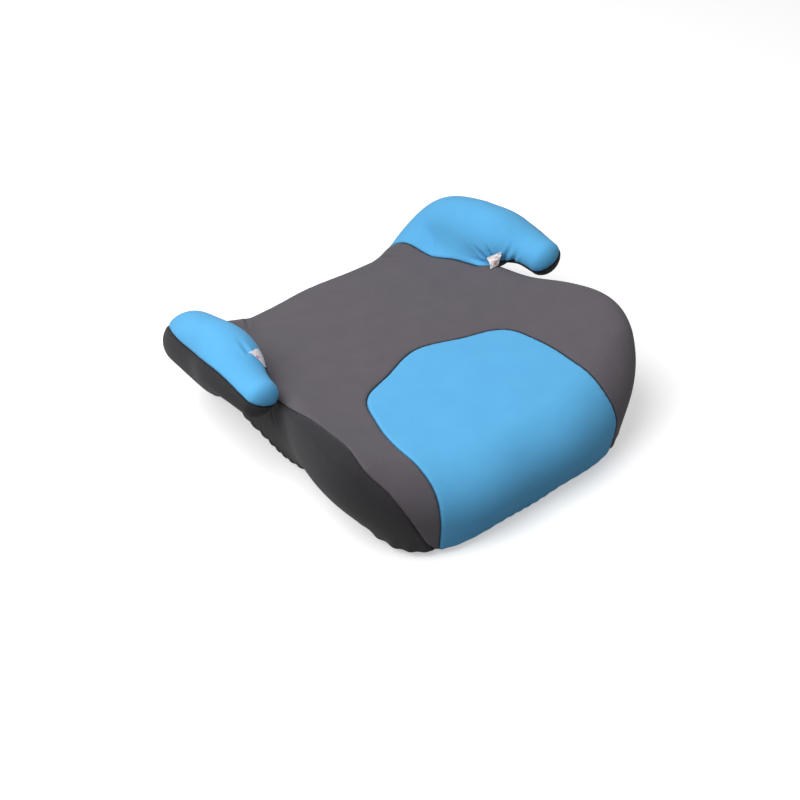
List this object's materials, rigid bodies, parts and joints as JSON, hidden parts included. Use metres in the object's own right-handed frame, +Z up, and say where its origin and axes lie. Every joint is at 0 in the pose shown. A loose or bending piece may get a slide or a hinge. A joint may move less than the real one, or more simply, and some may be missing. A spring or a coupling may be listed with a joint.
{
  "type": "booster seat",
  "caption": "Backless child booster seat with a padded stretch-fabric cover, a contrasting front insert and fixed forward-curving armrests.",
  "frame": {"origin": "centre of the overall footprint, on the plane that the four feet rest on", "axes": "+Z up, the front of the seat faces -Y, +X to the left hand of a child who sits in it"},
  "size_m": [0.4324, 0.3885, 0.14],
  "materials": {
    "fabric_grey": "matte knit",
    "fabric_blue": "matte knit",
    "fabric_charcoal": "matte knit",
    "foam": "open-cell polyurethane foam",
    "label_satin": "satin",
    "elastic_black": "braided",
    "rubber_black": "matte",
    "zinc_steel": "zinc plated",
    "plastic_hook": "moulded",
    "plastic_shell": "moulded"
  },
  "bodies": {
    "root": {"armrest_bolts": "zinc_steel", "armrest_cover_inner_left": "fabric_blue", "armrest_cover_inner_right": "fabric_blue", "armrest_cover_outer_left": "fabric_charcoal", "armrest_cover_outer_right": "fabric_charcoal", "armrest_foam_arm_left": "foam", "armrest_foam_arm_right": "foam", "armrest_foam_root_left": "foam", "armrest_foam_root_right": "foam", "armrest_screws": "zinc_steel", "armrest_shell_inner_left": "plastic_shell", "armrest_shell_inner_right": "plastic_shell", "armrest_shell_outer_left": "plastic_shell", "armrest_shell_outer_right": "plastic_shell", "armrest_washers": "zinc_steel", "base_plate": "plastic_shell", "base_screws": "zinc_steel", "base_shell": "plastic_shell", "cover_front_insert": "fabric_blue", "cover_rear_panel": "fabric_charcoal", "cover_seat_panel": "fabric_grey", "cover_side_panel_left": "fabric_charcoal", "cover_side_panel_right": "fabric_charcoal", "feet": "rubber_black", "hem_elastic": "elastic_black", "hem_hooks": "plastic_hook", "seat_foam": "foam", "wash_label_left": "label_satin", "wash_label_right": "label_satin"}
  },
  "joints": []
}
